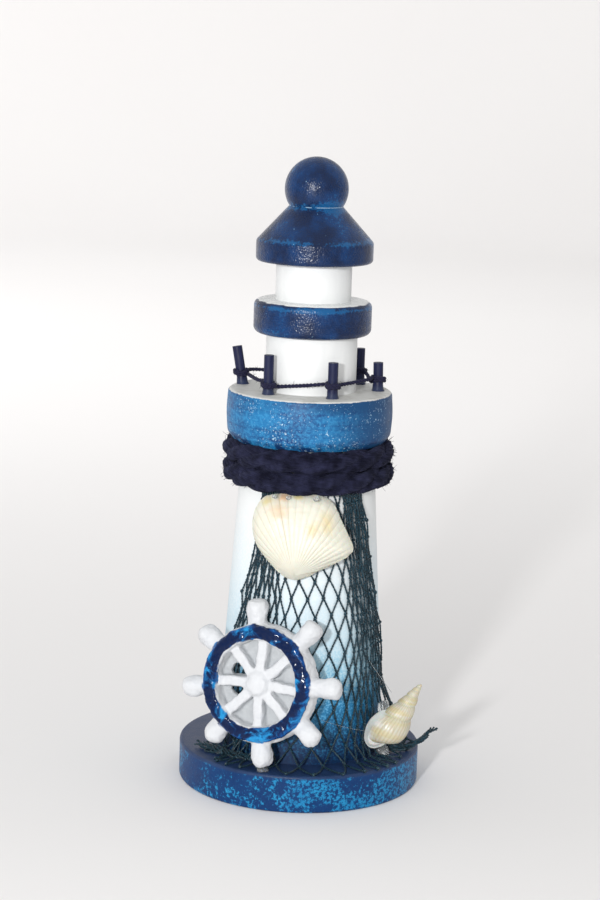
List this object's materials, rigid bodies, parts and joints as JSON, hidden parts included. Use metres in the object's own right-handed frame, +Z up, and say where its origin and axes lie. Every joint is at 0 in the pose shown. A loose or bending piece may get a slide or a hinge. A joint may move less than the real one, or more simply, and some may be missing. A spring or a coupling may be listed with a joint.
{
  "type": "lighthouse souvenir",
  "caption": "Free-standing turned wooden lighthouse on a round base, with a cord railing, rope collar, draped fishing net, sea shells and a cast ship's wheel.",
  "frame": {"origin": "centre of the round base's underside", "axes": "+Z up along the lighthouse's axis, -Y towards the decorated front, +X to the right seen from the front"},
  "size_m": [0.0643, 0.0628, 0.1546],
  "materials": {
    "base_paint": "turned disc painted navy, sponged with bright blue on the edge",
    "tower_paint": "painted white, sprayed to navy at the foot",
    "gallery_paint": "painted mid blue over white and sanded through in specks",
    "drum_paint": "painted matt white",
    "ring_paint": "painted navy, semi-gloss, white on top",
    "roof_paint": "painted navy, semi-gloss, worn to a brighter blue",
    "post_paint": "thin dowel painted navy, bedded in paint and glue",
    "dowel_wood": "plain birch dowel, hidden",
    "railing_cord": "thin twisted cord, navy",
    "rope_yarn": "three-strand twisted rope of soft yarn, dark navy",
    "net_twine": "knotted twine netting, dark teal",
    "cockle_shell": "natural cockle shell, ivory with yellow and orange near the edge",
    "whelk_shell": "natural small whelk, cream with fine ribs",
    "wheel_resin": "cast resin painted white, rim painted navy and bright blue",
    "hot_glue": "clear hot-melt glue, glossy"
  },
  "bodies": {
    "root": {"base_disc": "base_paint", "base_dowel": "dowel_wood", "finial_ball": "roof_paint", "finial_dowel": "dowel_wood", "fishing_net": "net_twine", "gallery_disc": "gallery_paint", "lantern_ring": "ring_paint", "lower_lantern_drum": "drum_paint", "post_feet": "post_paint", "railing_cord": "railing_cord", "railing_hitches": "railing_cord", "railing_post_back_left": "post_paint", "railing_post_back_right": "post_paint", "railing_post_front_left": "post_paint", "railing_post_front_right": "post_paint", "railing_post_left": "post_paint", "railing_post_right": "post_paint", "roof_cap": "roof_paint", "rope_wrap": "rope_yarn", "scallop_glue": "hot_glue", "scallop_shell": "cockle_shell", "ship_wheel": "wheel_resin", "spiral_shell": "whelk_shell", "spiral_shell_glue": "hot_glue", "stack_dowel": "dowel_wood", "tower_body": "tower_paint", "upper_lantern_drum": "drum_paint", "wheel_glue": "hot_glue"}
  },
  "joints": []
}
